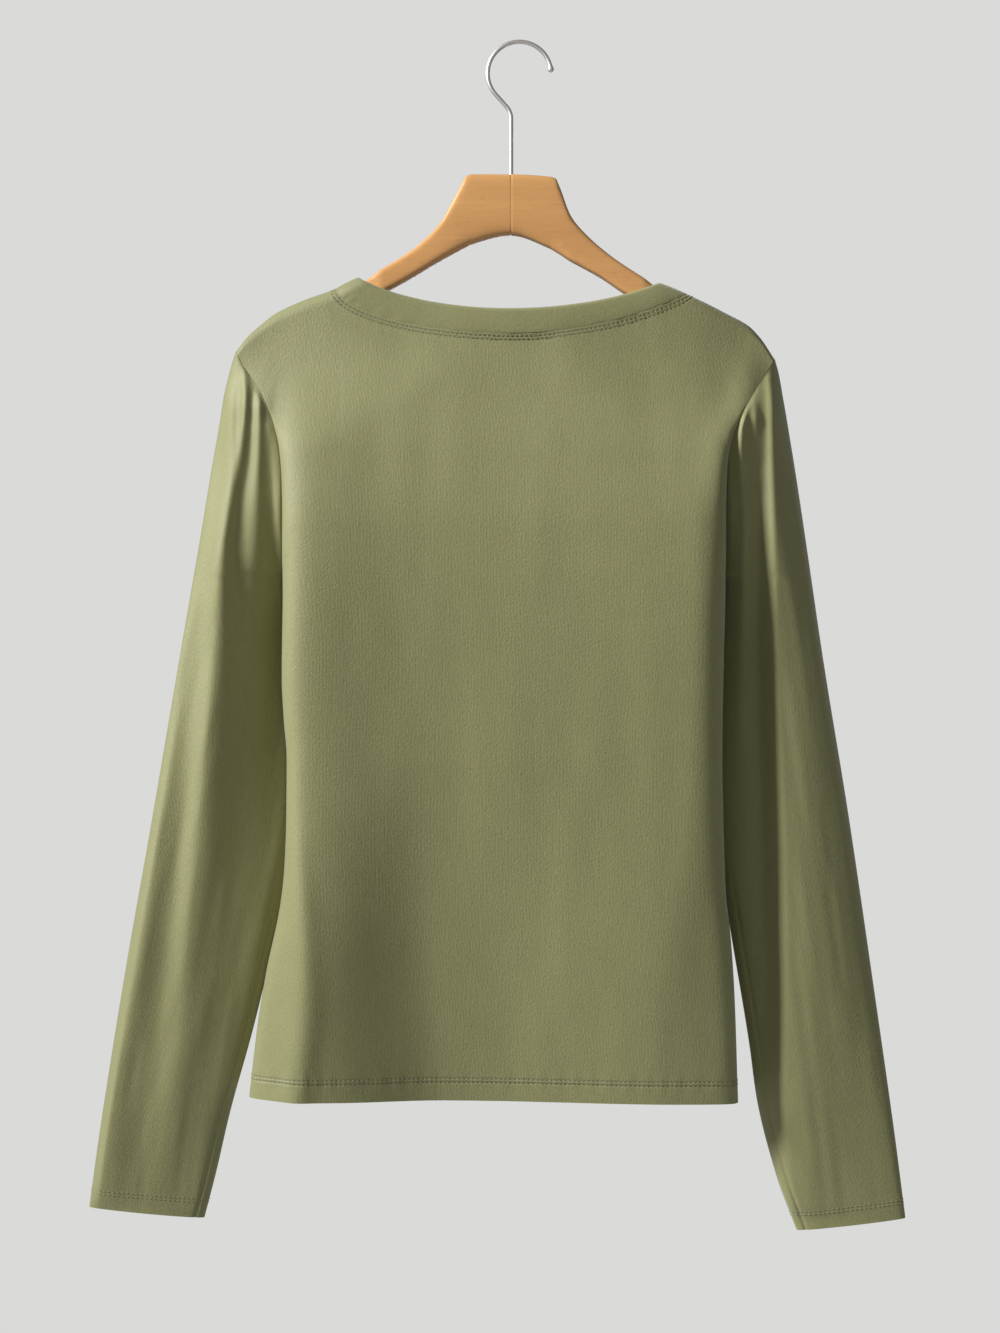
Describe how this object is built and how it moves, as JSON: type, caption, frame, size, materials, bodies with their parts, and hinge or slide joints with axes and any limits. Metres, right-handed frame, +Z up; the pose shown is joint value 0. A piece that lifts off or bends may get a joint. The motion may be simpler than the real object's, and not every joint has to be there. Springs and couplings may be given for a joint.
{
  "type": "long-sleeve top on a hanger",
  "caption": "Plain olive-green jersey top with long sleeves, a bound scoop neck and gathered sleeve heads, hanging on a curved wooden hanger with a wire hook.",
  "frame": {"origin": "where a rod bears on the inner side of the hook, straight above the joint of the wooden arms", "axes": "+Z up; -Y is the side the garment's back faces; +X to the right as one looks at that back"},
  "size_m": [0.5721, 0.0748, 0.8343],
  "materials": {
    "jersey": "fine smooth knit, soft sheen",
    "band_jersey": "the same knit, folded double",
    "lacquered_wood": "clear satin lacquer",
    "steel_wire": "bright drawn wire"
  },
  "bodies": {
    "root": {"back": "jersey", "front": "jersey", "sleeve_left": "jersey", "sleeve_right": "jersey", "neckband": "band_jersey", "hanger_arm_left": "lacquered_wood", "hanger_arm_right": "lacquered_wood", "hanger_hook": "steel_wire"}
  },
  "joints": []
}
